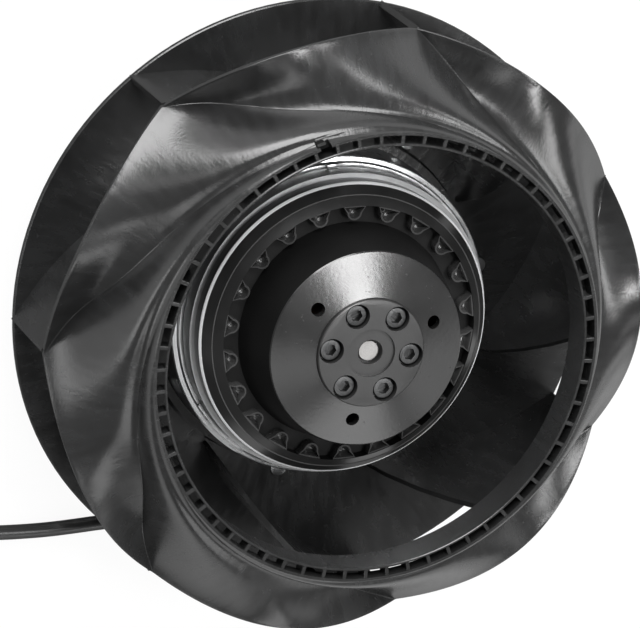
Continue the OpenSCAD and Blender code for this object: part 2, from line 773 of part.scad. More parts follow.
// Turns a piece made along +Z from its root to lie along the cable's way out
module along_gland() {
    rotate(gland_dir) translate([0, 0, gland_z]) rotate([0, 90, 0]) children();
}

// Die-cast motor flange: dish, bearing tube, mounting bosses and gland hole
module motor_flange() {
    color("#9c9ea1") difference() {
        union() {
            rotate_extrude() polygon([[0, 0], [flange_r - chamfer, 0], [flange_r, chamfer],
                [flange_r, flange_h - chamfer], [flange_r - chamfer, flange_h],
                [flange_r - flange_wall, flange_h], [flange_r - flange_wall, flange_floor],
                [foot_r, flange_floor], [foot_r, foot_top], [tube_r, foot_top], [tube_r, tube_top],
                [0, tube_top]]);
            on_mounts() cylinder(d = mount_boss_d, h = boss_top);
            on_board_screws() cylinder(d = board_boss_d, h = boss_top);
            on_earth() cylinder(d = earth_boss_d, h = earth_top);
        }
        translate([0, 0, -1]) cylinder(r = tube_bore_r, h = tube_top + 2);
        translate([0, 0, -1]) cylinder(r = bearing_seat_r, h = 1 + spring_z + spring_h);
        translate([0, 0, front_bearing_z - seat]) cylinder(r = bearing_seat_r, h = tube_top);
        on_mounts() translate([0, 0, -1]) cylinder(d = mount_hole_d, h = mount_depth + 1);
        on_board_screws() translate([0, 0, boss_top - board_screw_l - 1])
            cylinder(d = board_screw_d + 2 * seat, h = board_screw_l + 2, $fn = 32);
        on_earth() translate([0, 0, 1.5]) cylinder(d = earth_d + 2 * seat, h = earth_top, $fn = 32);
        along_gland() translate([0, 0, flange_r - 2 * flange_wall]) cylinder(r = gland_hole_r + seat, h = 3 * flange_wall);
        difference() {
            ring(mount_pcd / 2 - mount_boss_d / 2 - 1, bearing_seat_r + 3, -1, 1 + rear_recess);
            around(rear_ribs, mount_start) translate([0, -1, -2]) cube([flange_r, 2, 4]);
        }
    }
}

// Cap that closes the bearing tube at the rear
module rear_cap() {
    color("#b4b6b8") rotate_extrude() polygon([[0, cap_z + 0.6], [bearing_seat_r - 3, cap_z + 0.6],
        [bearing_seat_r - 2, cap_z], [bearing_seat_r - seat, cap_z], [bearing_seat_r - seat, cap_z + cap_t],
        [0, cap_z + cap_t]]);
}

// Outline of the stator, grown or shrunk at its tooth sides
module stator_plan(grow) {
    difference() {
        union() {
            circle(d = stator_hub_d);
            around(tooth_count) translate([0, -tooth_w / 2 - grow])
                square([stator_r - tip_t / 2, tooth_w + 2 * grow]);
            difference() {
                circle(r = stator_r);
                circle(r = tooth_end_r);
                around(tooth_count, 180 / tooth_count) translate([0, -slot_gap / 2])
                    square([flange_r, slot_gap]);
            }
        }
        circle(r = stator_bore_r);
    }
}

// Stack of stator laminations
module stator_core() {
    color("#7d8083") translate([0, 0, core_z]) linear_extrude(core_h) stator_plan(0);
}

// Insulating plates on the ends of the stack
module end_insulator(z) {
    color("#e8e6dc") translate([0, 0, z]) linear_extrude(insulator_t) stator_plan(0);
}
module front_insulator() { end_insulator(core_top + seat); }
module rear_insulator() { end_insulator(core_z - seat - insulator_t); }

// Coils wound round the teeth
coil_hole_w = tooth_w + 4 * seat;
coil_hole_h = core_h + 2 * insulator_t + 6 * seat;
module stator_coils() {
    color("#b5652d") around(tooth_count) translate([coil_in_r, 0, core_z + core_h / 2])
        rotate([90, 0, 90]) linear_extrude(coil_out_r - coil_in_r) difference() {
            soft_square(coil_hole_w + 2 * coil_t, core_h + 2 * coil_over, coil_t);
            square([coil_hole_w, coil_hole_h], center = true);
        }
}

// Ring-shaped connection board
module connection_board() {
    color("#2f6b45") difference() {
        ring(board_r, board_in_r, board_z, board_t);
        on_board_screws() translate([0, 0, board_z - 1])
            cylinder(d = board_screw_d + 4 * seat, h = board_t + 2, $fn = 32);
        rotate(gland_dir) translate([board_r - board_cut_l, -board_cut_w / 2, board_z - 1])
            cube([2 * board_cut_l, board_cut_w, board_t + 2]);
    }
}

// Screws that hold the board
module board_screws() {
    color("#c0c0c0") on_board_screws() {
        translate([0, 0, board_z + board_t + seat]) cylinder(d = board_head_d, h = 1.6, $fn = 32);
        translate([0, 0, boss_top - board_screw_l])
            cylinder(d = board_screw_d, h = board_screw_l + board_t + 3 * seat, $fn = 32);
    }
}

// Thermal switch on the board, under the windings
switch_l = 14;
switch_w = 7;
switch_h = 3.2;
switch_dir = 150;
module thermal_protector() {
    color("#d8c9a0") rotate(switch_dir) translate([board_in_r + 12, 0, board_z + board_t + seat + switch_h / 2])
        rotate([0, 90, 90]) linear_extrude(switch_l, center = true) soft_square(switch_h, switch_w, 1.2);
}

// Terminal block on the board, beside the gland
block_l = 14;
block_w = 8;
block_h = 3.4;
module terminal_block() {
    color("#d9d9d4") rotate(gland_dir) translate([board_in_r + 4, 0, board_z + board_t + seat]) difference() {
        translate([0, -block_l / 2, 0]) cube([block_w, block_l, block_h]);
        for (y = [-4.5, 0, 4.5]) translate([block_w / 2, y, block_h - 1.5]) cylinder(d = 3, h = 2, $fn = 32);
    }
}

// Insulated leads from the cable's end to the terminal block
lead_d = 1.6;
lead_bend = 4;
lead_z = board_z + board_t + seat + lead_d / 2 + 0.6;
lead_block_r = board_in_r + 4 + block_w + seat;
lead_turn_r = flange_r - flange_wall - 4.5;
module lead_wires() {
    color("#6b3f24") rotate(gland_dir) for (y = [-2.2, 0, 2.2]) translate([0, y, 0]) {
        translate([lead_block_r, 0, lead_z]) rotate([0, 90, 0])
            cylinder(d = lead_d, h = lead_turn_r - lead_bend - lead_block_r, $fn = 24);
        translate([lead_turn_r - lead_bend, 0, lead_z - lead_bend]) rotate([90, 0, 0])
            rotate_extrude(angle = 90) translate([lead_bend, 0]) circle(d = lead_d, $fn = 24);
        translate([lead_turn_r, 0, gland_z + gland_hole_r - 1]) cylinder(d = lead_d,
            h = lead_z - lead_bend - gland_z - gland_hole_r + 1, $fn = 24);
    }
}

// Earth screw in the flange's floor
module earth_screw() {
    color("#c8b26a") on_earth() {
        translate([0, 0, earth_top + seat]) cylinder(d = 1.75 * earth_d, h = 0.6 * earth_d, $fn = 6);
        translate([0, 0, 2]) cylinder(d = earth_d, h = earth_top + 2 * seat - 2, $fn = 32);
    }
}

// Tapered strain relief in the flange's wall
module cable_gland() {
    color("#2b2b2b") along_gland() rotate_extrude() polygon([
        [cable_r + seat, gland_in_r], [gland_hole_r, gland_in_r],
        [gland_hole_r, gland_root], [gland_r, gland_root], [gland_r, gland_root + gland_collar_l - 0.8],
        [gland_r - 0.8, gland_root + gland_collar_l], [gland_r - 1.4, gland_root + gland_collar_l],
        [gland_tip_r, gland_end], [cable_r + seat, gland_end]]);
}

// Ring of points round the cable at one of its route's points
cable_sides = 10;
cable_path = concat([for (r = [gland_in_r, flange_r, gland_end - 5, gland_end]) polar(r, gland_dir, gland_z)],
    [for (p = cable_route) [gland_tip[0] + p[0], gland_tip[1] + p[1], p[2]]], [[coil_centre[0], coil_centre[1] - coil_r - coil_half_w / 2, coil_low + cable_r]]);
function unit(v) = v / norm(v);
function heading(i) = unit(cable_path[min(i + 1, len(cable_path) - 1)] - cable_path[max(i - 1, 0)]);
function cable_ring(i) =
    let (h = heading(i), side = unit(cross(h, [0, 0, 1])), up = cross(side, h))
    [for (j = [0 : cable_sides - 1]) let (a = 360 * j / cable_sides)
        cable_path[i] + cable_r * (cos(a) * side + sin(a) * up)];

// Cable from the gland to its coil
module cable() {
    color("#262626") loft([for (i = [0 : len(cable_path) - 1]) cable_ring(i)]);
}

// Outer shape of the coiled rest of the cable
module cable_coil() {
    color("#262626") translate([coil_centre[0], coil_centre[1], coil_low]) rotate_extrude()
        translate([coil_r, cable_r]) soft_square(2 * coil_half_w, cable_d, cable_r - seat);
}

// Tie round the coil
tie_dir = 160;
module cable_tie() {
    color("#1a1a1a") translate([coil_centre[0], coil_centre[1], 0]) rotate(tie_dir) translate([coil_r, 0, 0]) {
        difference() {
            translate([-coil_half_w - seat - tie_t, -tie_w / 2, 0])
                cube([2 * (coil_half_w + seat + tie_t), tie_w, cable_d + 2 * (tie_t + seat)]);
            translate([-coil_half_w - seat, -tie_w, tie_t])
                cube([2 * (coil_half_w + seat), 2 * tie_w, cable_d + 2 * seat]);
        }
        translate([-3, -tie_w / 2 - 0.8, cable_d + 2 * (tie_t + seat)]) cube([6, tie_w + 1.6, 2.6]);
    }
}

// Stripped end of the cable inside the coil: three cores with crimped ferrules
core_dir = 88;
core_turn = -140;
core_spread = 16;
core_tilt = 7;
core_l = 12;
ferrule_l = 6;
ferrule_d = 1.2;
module cable_cores() {
    color("#7a4a2a") translate([coil_centre[0], coil_centre[1], 0]) rotate(core_dir)
        translate([coil_r - coil_half_w + 1.4, 0, coil_low + cable_r - 0.4]) for (k = [-1, 0, 1])
            rotate([0, 90 + core_tilt, core_turn + k * core_spread]) {
                cylinder(d = lead_d, h = core_l, $fn = 24);
                translate([0, 0, core_l - 0.1]) cylinder(d = ferrule_d, h = ferrule_l, $fn = 24);
            }
}

motor_flange();
rear_cap();
stator_core();
stator_coils();
front_insulator();
rear_insulator();
front_bearing_outer();
rear_bearing_outer();
front_bearing_balls();
rear_bearing_balls();
ball_cages();
bearing_shields();
preload_spring();
connection_board();
board_screws();
thermal_protector();
terminal_block();
lead_wires();
earth_screw();
cable_gland();
cable();
cable_coil();
cable_tie();
cable_cores();
front_shroud();
blade_disc();
carrier_ring();
disc_rivets();
rotor_core();
rotor_cage();
rotor_bell();
hub_disc();
hub_screws();
shaft();
retaining_ring();
front_spacer();
front_bearing_inner();
rear_bearing_inner();
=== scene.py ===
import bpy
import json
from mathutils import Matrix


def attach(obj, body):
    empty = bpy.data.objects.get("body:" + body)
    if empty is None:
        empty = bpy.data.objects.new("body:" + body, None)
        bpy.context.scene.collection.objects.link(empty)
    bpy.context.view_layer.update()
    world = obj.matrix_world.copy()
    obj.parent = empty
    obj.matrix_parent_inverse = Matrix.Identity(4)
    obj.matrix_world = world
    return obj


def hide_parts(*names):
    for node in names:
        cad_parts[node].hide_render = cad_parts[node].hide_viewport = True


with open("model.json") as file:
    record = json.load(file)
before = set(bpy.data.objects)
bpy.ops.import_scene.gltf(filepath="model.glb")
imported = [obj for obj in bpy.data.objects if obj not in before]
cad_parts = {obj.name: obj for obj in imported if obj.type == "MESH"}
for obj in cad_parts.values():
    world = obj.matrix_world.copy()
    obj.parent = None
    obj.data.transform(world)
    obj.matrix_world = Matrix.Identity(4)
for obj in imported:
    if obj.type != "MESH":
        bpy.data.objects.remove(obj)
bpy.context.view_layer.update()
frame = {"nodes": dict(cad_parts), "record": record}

import json
from math import atan2, cos, hypot, log, pi, radians, sin, sqrt, tan

import bmesh
import bpy
from mathutils import Matrix, Vector

MM = 0.001

# Sizes of the wheel, in millimetres, as in the part's source
WHEEL_R = 112.5
BLADES = 7
BLADE_START = 134
BLADE_ANGLE = 32
RING_TOP = 92
RING_R = 84.1
SLOT_OUT_R = 83.1
SLOT_IN_R = 80.1
THROAT_R = 79.1
THROAT_H = 13.5
WEB_H = 6
WEB_SINK = 0.2
WEB_T = 1.4
SLOTS = 63
NOTCH_DIR = 111
NOTCH_W = 4.2
TAB_L = 3.2
TAB_T = 1.2
TAB_H = 4.4
TAB_GAP = 0.5
TAB_SHIFT = 1.2
TAB_SINK = 0.6
VALLEY_DROP = 38
CREST_DROP = 24
VALLEY_CURVE = 2.7
CREST_CURVE = 1.6
LOBE_SKEW = 0.45
SWEEP_TURN = 50
SWEEP_CURVE = 8
RING_WALL = 1
SHROUD_T = 2

# Distances within which points are one, in metres
MERGE = 1e-7
SOLID_MERGE = 2e-6


# Camera at the photo's viewing angle, fitted to the slots of the inlet ring
LENS = 268.26
EYE = Vector((-0.6414, 0.5114, 1.5687))
RIGHT = Vector((0.92975, 0.11682, 0.34916))
UP = Vector((0, 0.94833, -0.31728))


def place_camera():
    data = bpy.data.cameras.new("photo_camera")
    data.sensor_width = 36
    data.lens = LENS
    data.clip_end = 20
    camera = bpy.data.objects.new("photo_camera", data)
    bpy.context.collection.objects.link(camera)
    stand = Matrix((RIGHT, UP, RIGHT.cross(UP))).transposed().to_4x4()
    stand.translation = EYE
    camera.matrix_world = stand
    bpy.context.scene.camera = camera


place_camera()


# Shader sockets in Python expressions
class Field:
    """A shader socket that takes part in Python expressions; each one adds its Math node."""

    def __init__(self, tree, socket):
        self.tree = tree
        self.socket = socket

    def node(self, kind, settings=None, sockets=None, out=0):
        made = self.tree.nodes.new(kind)
        for name, value in (settings or {}).items():
            setattr(made, name, value)
        for name, value in (sockets or {}).items():
            if isinstance(value, Field):
                self.tree.links.new(value.socket, made.inputs[name])
            else:
                made.inputs[name].default_value = value
        return Field(self.tree, made.outputs[out])

    def math(self, operation, first, second=0.0):
        return self.node("ShaderNodeMath", {"operation": operation}, {0: first, 1: second})

    def __add__(self, other):
        return self.math("ADD", self, other)

    def __radd__(self, other):
        return self.math("ADD", other, self)

    def __sub__(self, other):
        return self.math("SUBTRACT", self, other)

    def __rsub__(self, other):
        return self.math("SUBTRACT", other, self)

    def __mul__(self, other):
        return self.math("MULTIPLY", self, other)

    def __rmul__(self, other):
        return self.math("MULTIPLY", other, self)

    def __truediv__(self, other):
        return self.math("DIVIDE", self, other)

    def __rtruediv__(self, other):
        return self.math("DIVIDE", other, self)

    def __pow__(self, other):
        return self.math("POWER", self, other)

    def rise(self, low, high):
        """0 below low, 1 above high, smooth between."""
        return self.node("ShaderNodeMapRange", {"interpolation_type": "SMOOTHSTEP"},
                         {"Value": self, "From Min": low, "From Max": high})

    def between(self, first, second):
        """Colour from first, where this is 0, to second, where it is 1."""
        return self.node("ShaderNodeMix", {"data_type": "RGBA"}, {0: self, 6: first, 7: second}, 2)

    def axis(self, index):
        return self.node("ShaderNodeSeparateXYZ", None, {0: self}, index)

    def vector(self, x, y, z):
        return self.node("ShaderNodeCombineXYZ", None, {0: x, 1: y, 2: z})

    def noise(self, scale, detail=3.0, rough=0.55):
        return self.node("ShaderNodeTexNoise", None,
                         {"Vector": self, "Scale": scale, "Detail": detail, "Roughness": rough})

    def bump(self, strength, distance):
        return self.node("ShaderNodeBump", None, {"Height": self, "Strength": strength, "Distance": distance})

    def polar(self):
        """Radius from the wheel's axis and angle round it."""
        x, y = self.axis(0), self.axis(1)
        return (x * x + y * y) ** 0.5, self.math("ARCTAN2", y, x)


def grey(level, tint=0.0):
    return (level * (1 - tint), level, level * (1 + tint), 1)


def new_finish(name):
    finish = bpy.data.materials.new(name)
    finish.use_nodes = True
    tree = finish.node_tree
    tree.nodes.clear()
    shader = tree.nodes.new("ShaderNodeBsdfPrincipled")
    output = tree.nodes.new("ShaderNodeOutputMaterial")
    tree.links.new(shader.outputs[0], output.inputs[0])
    place = tree.nodes.new("ShaderNodeTexCoord")
    return finish, shader, Field(tree, place.outputs["Object"])


def set_shader(shader, **sockets):
    for name, value in sockets.items():
        socket = shader.inputs[name.replace("_", " ")]
        if isinstance(value, Field):
            value.tree.links.new(value.socket, socket)
        else:
            socket.default_value = value


# Glass-filled moulding of the wheel: faint flow lines from the inlet outwards, scuffs and dust
def moulded_black():
    finish, shader, place = new_finish("moulded_black")
    radius, turn = place.polar()
    flow = place.vector(turn * 9.0, radius * 26.0, place.axis(2) * 20.0).noise(3.0, 5.0)
    cloud = place.noise(22.0, 4.0)
    grain = place.noise(1500.0, 2.0)
    dust = place.noise(420.0, 2.0).rise(0.66, 0.74) * cloud.rise(0.5, 0.62)
    tone = (flow * 0.5 + cloud * 0.5).rise(0.35, 0.68)
    set_shader(shader, Base_Color=(tone * 0.8 + dust * 0.5).between(grey(0.01), grey(0.017, 0.02)),
               Roughness=0.2 + 0.1 * tone + 0.14 * dust,
               Normal=(grain * 0.5 + flow * 1.4 + cloud * 1.2).bump(0.16, 0.0006), IOR=1.52)
    return finish


# Black coat on the rotor bell and hub, satin with a slight orange peel, and duller with a low ior
def dipped_black(name, low, high, rough, ior=1.62):
    finish, shader, place = new_finish(name)
    peel = place.noise(700.0, 2.0)
    cloud = place.noise(40.0, 4.0)
    dust = place.noise(650.0, 2.0).rise(0.68, 0.75)
    set_shader(shader, Base_Color=(cloud.rise(0.35, 0.7) + dust * 0.6).between(grey(low), grey(high)),
               Roughness=rough + 0.09 * cloud + 0.12 * dust,
               Normal=(peel + cloud).bump(0.08, 0.0003), IOR=ior)
    return finish


# Turned or rolled metal, with fine lines round the axis
def turned_metal(name, dark, light, rough, lines=2600.0, tint=0.01, metallic=1.0):
    finish, shader, place = new_finish(name)
    radius, turn = place.polar()
    cut = place.vector(radius * lines, place.axis(2) * lines, turn * 1.5).noise(1.0, 2.0)
    stain = place.noise(60.0, 5.0)
    worn = (cut * 0.55 + stain * 0.45).rise(0.32, 0.66)
    set_shader(shader, Base_Color=worn.between(grey(dark, tint), grey(light, tint)), Metallic=metallic,
               Roughness=rough + 0.14 * stain - 0.05 * cut,
               Normal=cut.bump(0.1, 0.00008))
    return finish


# Stacked laminations: dark and bright lines one above the other
SHEET_T = 0.0005


def stacked_sheets():
    finish, shader, place = new_finish("stacked_sheets")
    height = place.axis(2)
    edge = height.math("SINE", height * (2 * pi / SHEET_T)).rise(-0.9, 0.2)
    stain = place.noise(90.0, 4.0)
    set_shader(shader, Base_Color=(edge * (0.4 + 0.6 * stain)).between(grey(0.1), grey(0.42, 0.01)),
               Metallic=1.0, Roughness=0.42 - 0.14 * edge + 0.1 * stain, Normal=edge.bump(0.25, 0.0001))
    return finish


# Die-cast aluminium, blasted
def cast_metal():
    finish, shader, place = new_finish("cast_metal")
    skin = place.noise(900.0, 3.0)
    flow = place.noise(30.0, 5.0)
    tone = (flow * 0.7 + skin * 0.3).rise(0.3, 0.7)
    set_shader(shader, Base_Color=tone.between(grey(0.4), grey(0.56, 0.01)), Metallic=1.0,
               Roughness=0.4 + 0.16 * flow, Normal=(skin + flow * 0.5).bump(0.2, 0.0002))
    return finish


# Soft sheath or rubber
def soft_black(name, low, high, rough, grain_scale):
    finish, shader, place = new_finish(name)
    grain = place.noise(grain_scale, 3.0)
    scuff = place.noise(160.0, 5.0).rise(0.52, 0.72)
    set_shader(shader, Base_Color=scuff.between(grey(low), grey(high)), Roughness=rough + 0.16 * scuff,
               Normal=(grain + scuff).bump(0.12, 0.0002))
    return finish


# Plain moulded or painted inner pieces, with a slight mottle
def mottled(name, first, second, rough, metallic=0.0, scale=120.0):
    finish, shader, place = new_finish(name)
    cloud = place.noise(scale, 4.0)
    set_shader(shader, Base_Color=cloud.rise(0.3, 0.7).between(first + (1,), second + (1,)),
               Metallic=metallic, Roughness=rough + 0.12 * cloud,
               Normal=place.noise(scale * 8, 2.0).bump(0.08, 0.0002))
    return finish


WHEEL_BLACK = moulded_black()
BELL_BLACK = dipped_black("bell_black", 0.006, 0.012, 0.16)
BAND_BLACK = dipped_black("band_black", 0.012, 0.022, 0.26)
# The coat made near black and matt: painted shade on the bell's channel
CHANNEL_SHADE = dipped_black("channel_shade", 0.004, 0.006, 0.6, 1.3)
# The coat made near black and matt: painted shade in the notch and on the tab's sides
NOTCH_SHADE = dipped_black("notch_shade", 0.003, 0.005, 0.7, 1.2)
# The bell's coat made lighter on the cups: painted light on their walls and bowls
CUP_PAINTED_LIGHT = dipped_black("cup_painted_light", 0.024, 0.04, 0.15)
HUB_BLACK = dipped_black("hub_black", 0.012, 0.02, 0.34)
SCREW_BLACK = turned_metal("screw_black", 0.05, 0.11, 0.36)
# Bare steel of the rim, near white and mostly matt so that it reads bright all round: partly the steel's own
# colour, partly a painted highlight
RIM_STEEL_HIGHLIGHT = turned_metal("rim_steel_highlight", 0.85, 1.0, 0.45, metallic=0.25)
SIDE_STEEL = turned_metal("side_steel", 0.08, 0.14, 0.3)
RING_ZINC = turned_metal("ring_zinc", 0.42, 0.66, 0.24)
SHAFT_STEEL = turned_metal("shaft_steel", 0.36, 0.5, 0.3, 5200.0, -0.02)
SPRING_STEEL = turned_metal("spring_steel", 0.45, 0.62, 0.25)
LAMINATIONS = stacked_sheets()
CASTING = cast_metal()
SHEATH = soft_black("sheath", 0.012, 0.022, 0.34, 1400.0)
RUBBER = soft_black("rubber", 0.014, 0.026, 0.5, 900.0)
TIE_BLACK = soft_black("tie_black", 0.014, 0.02, 0.4, 500.0)
COPPER_WIRE = mottled("copper_wire", (0.46, 0.16, 0.06), (0.6, 0.24, 0.1), 0.28, 1.0, 300.0)
CAGE_BRASS = mottled("cage_brass", (0.55, 0.38, 0.14), (0.68, 0.5, 0.22), 0.28, 1.0)
INSULATION = mottled("insulation", (0.7, 0.68, 0.6), (0.8, 0.78, 0.7), 0.45)
BOARD_GREEN = mottled("board_green", (0.03, 0.16, 0.07), (0.05, 0.22, 0.1), 0.4)
CORE_BROWN = mottled("core_brown", (0.09, 0.035, 0.015), (0.12, 0.05, 0.02), 0.4)
CORE_BLUE = mottled("core_blue", (0.02, 0.06, 0.24), (0.03, 0.08, 0.3), 0.4)
CORE_EARTH = mottled("core_earth", (0.05, 0.2, 0.03), (0.42, 0.4, 0.03), 0.4, 0.0, 260.0)
FERRULE_TIN = mottled("ferrule_tin", (0.5, 0.5, 0.5), (0.66, 0.66, 0.65), 0.28, 1.0)


# Makes an object of a bmesh, with smooth faces that break at sharp edges
def piece(name, bm, finishes, body, stands_for=(), sharp=30):
    for face in bm.faces:
        face.smooth = True
    for edge in bm.edges:
        if len(edge.link_faces) == 2 and edge.calc_face_angle(0) > radians(sharp):
            edge.smooth = False
    mesh = bpy.data.meshes.new(name)
    bm.to_mesh(mesh)
    bm.free()
    for finish in finishes:
        mesh.materials.append(finish)
    made = bpy.data.objects.new(name, mesh)
    bpy.context.collection.objects.link(made)
    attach(made, body)
    if stands_for:
        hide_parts(*stands_for)
    return made


# Point at a radius, a direction and a height
def polar_point(r, degrees, z):
    return Vector((r * cos(radians(degrees)), r * sin(radians(degrees)), z))


# Takes the faces of another bmesh into this one
def append(bm, other):
    holder = bpy.data.meshes.new("holder")
    other.to_mesh(holder)
    other.free()
    bm.from_mesh(holder)
    bpy.data.meshes.remove(holder)


# Merged copy of a solid from the frame
def merged(node):
    bm = bmesh.new()
    bm.from_mesh(frame["nodes"][node].data)
    bmesh.ops.remove_doubles(bm, verts=bm.verts, dist=SOLID_MERGE)
    return bm


def body_of(node):
    for body, members in frame["record"]["behaviour"]["bodies"].items():
        if node in members:
            return body


# Dressed copy of a solid: merged, smooth, its sharp edges eased, faces painted by where they lie
def dress(node, finishes, ease=0.0, paint=None, sharp=30):
    bm = merged(node)
    if ease:
        bmesh.ops.dissolve_limit(bm, angle_limit=radians(0.5), use_dissolve_boundaries=False,
                                 verts=bm.verts, edges=bm.edges)
        edges = [e for e in bm.edges if len(e.link_faces) == 2 and e.calc_face_angle(0) > radians(40)]
        bmesh.ops.bevel(bm, geom=edges, offset=ease * MM, offset_type="OFFSET", affect="EDGES", segments=2,
                        profile=0.5, material=-1, clamp_overlap=True)
    if paint:
        for face in bm.faces:
            face.material_index = paint(face.calc_center_median() / MM)
    return piece(node + "_dressed", bm, finishes, body_of(node), [node], sharp)


# Cable from the gland to its coil, along the route of its solids
GLAND_DIR = 250
GLAND_Z = 6
GLAND_RADII = (54.1, 63, 72.1, 77.1)
GLAND_TIP = polar_point(GLAND_RADII[-1], GLAND_DIR, 0)
COIL_CENTRE = GLAND_TIP + Vector((-119.6, 5.4, 0))
COIL_Z = 3.65
COIL_OUT = 30.05
COIL_IN = 24.45
COIL_ANGLE = 3 * pi + 0.1
COIL_STEP_FROM = 1.1 * pi
COIL_STEP_OVER = 0.9 * pi
COIL_STEPS = 40
CABLE_D = 5.5
# Points of the cable between the gland's end and the coil, from the gland's end
LEAD = [(-1.9, -4.8, 5.6), (-4.8, -9.6, 4.9), (-9, -13.8, 4.2), (-14.6, -17, 3.6), (-21.6, -19.2, 3.2),
        (-29.6, -20.6, 3), (-39.6, -21.7, 3), (-48.2, -22.8, 3), (-57.9, -23.9, 3), (-67.6, -24.6, 3),
        (-77.6, -24.9, 3.2), (-87.6, -25, 3.4), (-97.6, -24.8, 3.6), (-107.6, -24.6, 3.7)]


def coil_radius(turn):
    step = min(1, max(0, (turn - COIL_STEP_FROM) / COIL_STEP_OVER))
    return COIL_OUT + (COIL_IN - COIL_OUT) * step * step * (3 - 2 * step)


def cable_route():
    route = [polar_point(r, GLAND_DIR, GLAND_Z) for r in GLAND_RADII]
    route += [GLAND_TIP + Vector(point) for point in LEAD]
    for i in range(COIL_STEPS + 1):
        turn = COIL_ANGLE * i / COIL_STEPS
        spot = polar_point(coil_radius(turn), -90 - turn * 180 / pi, COIL_Z)
        route.append(COIL_CENTRE + spot)
    return route


def lay_cable():
    route = cable_route()
    data = bpy.data.curves.new("supply_cable", "CURVE")
    data.dimensions = "3D"
    data.bevel_depth = CABLE_D / 2 * MM
    data.bevel_resolution = 5
    data.use_fill_caps = True
    data.resolution_u = 5
    spline = data.splines.new("BEZIER")
    spline.bezier_points.add(len(route) - 1)
    for knot, spot in zip(spline.bezier_points, route):
        knot.co = spot * MM
        knot.handle_left_type = knot.handle_right_type = "AUTO"
    data.materials.append(SHEATH)
    cable = bpy.data.objects.new("supply_cable", data)
    bpy.context.collection.objects.link(cable)
    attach(cable, "motor_body")
    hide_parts("cable", "cable_coil")
    return cable, route[0] * MM


# Brown, blue and striped core, spread round one direction, then the crimped ferrules
CORES_START = COIL_CENTRE + polar_point(23.05, 88, 0)
CORES_DIR = -52
CORES_SPREAD = 8
FERRULES_FROM = 12.1
BROWN, BLUE, STRIPED, FERRULE = range(4)


def paint_cores(spot):
    away = spot - CORES_START
    if hypot(away.x, away.y) > FERRULES_FROM:
        return FERRULE
    heading = (atan2(away.y, away.x) * 180 / pi - CORES_DIR + 180) % 360 - 180
    if abs(heading) <= CORES_SPREAD:
        return BLUE
    return BROWN if heading < 0 else STRIPED


cable, cable_exit = lay_cable()
gland = dress("cable_gland", [RUBBER], 0.25)
tie = dress("cable_tie", [TIE_BLACK], 0.3)
cores = dress("cable_cores", [CORE_BROWN, CORE_BLUE, CORE_EARTH, FERRULE_TIN], 0.0, paint_cores)


# Wavy front shroud, from the falls along a crease and midway between two creases
SLOPE_STEP = 0.001
FALL_STEPS = 30
FALL_SPACING = 1.3
LOBE_STEPS = 36
INNER_START = 0.07
CREASE_EASE = 0.6
RIM_EASE = 0.45
RIM_FROM_R = 108
# Slots of the shroud: the moulding, and the near-black painted shade
MOULDED, SHADED = range(2)


def spiral(r):
    return -log(WHEEL_R / r) / tan(radians(BLADE_ANGLE)) * 180 / pi


def fall_r(t):
    return RING_R + (WHEEL_R - RING_R) * t


def crease_turn(t):
    return spiral(fall_r(t)) - SWEEP_TURN * (1 - t) ** SWEEP_CURVE


def fall(s, t):
    valley = VALLEY_DROP * (1 - (1 - t) ** VALLEY_CURVE)
    crest = CREST_DROP * (1 - (1 - t) ** CREST_CURVE)
    return valley - (valley - crest) * sin(pi * s ** (1 - LOBE_SKEW * (1 - t)))


def shroud_outside(s, t):
    return fall_r(t), RING_TOP - fall(s, t)


def shroud_inside(s, t):
    high = min(1, t + SLOPE_STEP)
    low = high - 2 * SLOPE_STEP
    slope = (fall(s, high) - fall(s, low)) / (fall_r(high) - fall_r(low))
    length = sqrt(1 + slope * slope)
    wall = RING_WALL + (SHROUD_T - RING_WALL) * min(1, 3 * t)
    return fall_r(t) - wall * slope / length, RING_TOP - fall(s, t) - wall / length


def shroud_loop(s):
    """Closed section of the shroud's wall: radius, height and turn of each point."""
    steps = [(j / FALL_STEPS) ** FALL_SPACING for j in range(FALL_STEPS + 1)]
    low = crease_turn(INNER_START / 2)
    loop = [shroud_outside(s, t) + (crease_turn(t),) for t in reversed(steps)]
    loop += [(SLOT_OUT_R, RING_TOP, crease_turn(0)), (SLOT_OUT_R, RING_TOP - WEB_H, low),
             (RING_R, RING_TOP - WEB_H, low)]
    return loop + [shroud_inside(s, t) + (crease_turn(t),) for t in steps if t > INNER_START]


def wavy_shell():
    across = BLADES * LOBE_STEPS
    loops = [shroud_loop(i / LOBE_STEPS) for i in range(LOBE_STEPS)]
    along = len(loops[0])
    bm = bmesh.new()
    bmesh.ops.create_grid(bm, x_segments=across, y_segments=along, size=0.5)
    crease = bm.verts.layers.int.new("crease")
    for vert in bm.verts:
        i = round((vert.co.x + 0.5) * across)
        j = round((vert.co.y + 0.5) * along) % along
        r, z, turn = loops[i % LOBE_STEPS][j]
        vert.co = polar_point(r, BLADE_START + turn + i * 360 / across, z) * MM
        vert[crease] = 1 if i % LOBE_STEPS == 0 and j < FALL_STEPS - 2 else 0
    bmesh.ops.remove_doubles(bm, verts=bm.verts, dist=MERGE)
    bmesh.ops.recalc_face_normals(bm, faces=bm.faces)
    folds = [e for e in bm.edges if all(v[crease] == 1 for v in e.verts)
             and e.calc_face_angle(0) > radians(8)]
    bmesh.ops.bevel(bm, geom=folds, offset=CREASE_EASE * MM, offset_type="OFFSET", affect="EDGES", segments=2,
                    profile=0.5, material=-1, clamp_overlap=True)
    rim = [e for e in bm.edges if e.calc_face_angle(0) > radians(50)
           and min(hypot(v.co.x, v.co.y) for v in e.verts) > RIM_FROM_R * MM]
    bmesh.ops.bevel(bm, geom=rim, offset=RIM_EASE * MM, offset_type="OFFSET", affect="EDGES", segments=3,
                    profile=0.5, material=-1, clamp_overlap=True)
    return bm


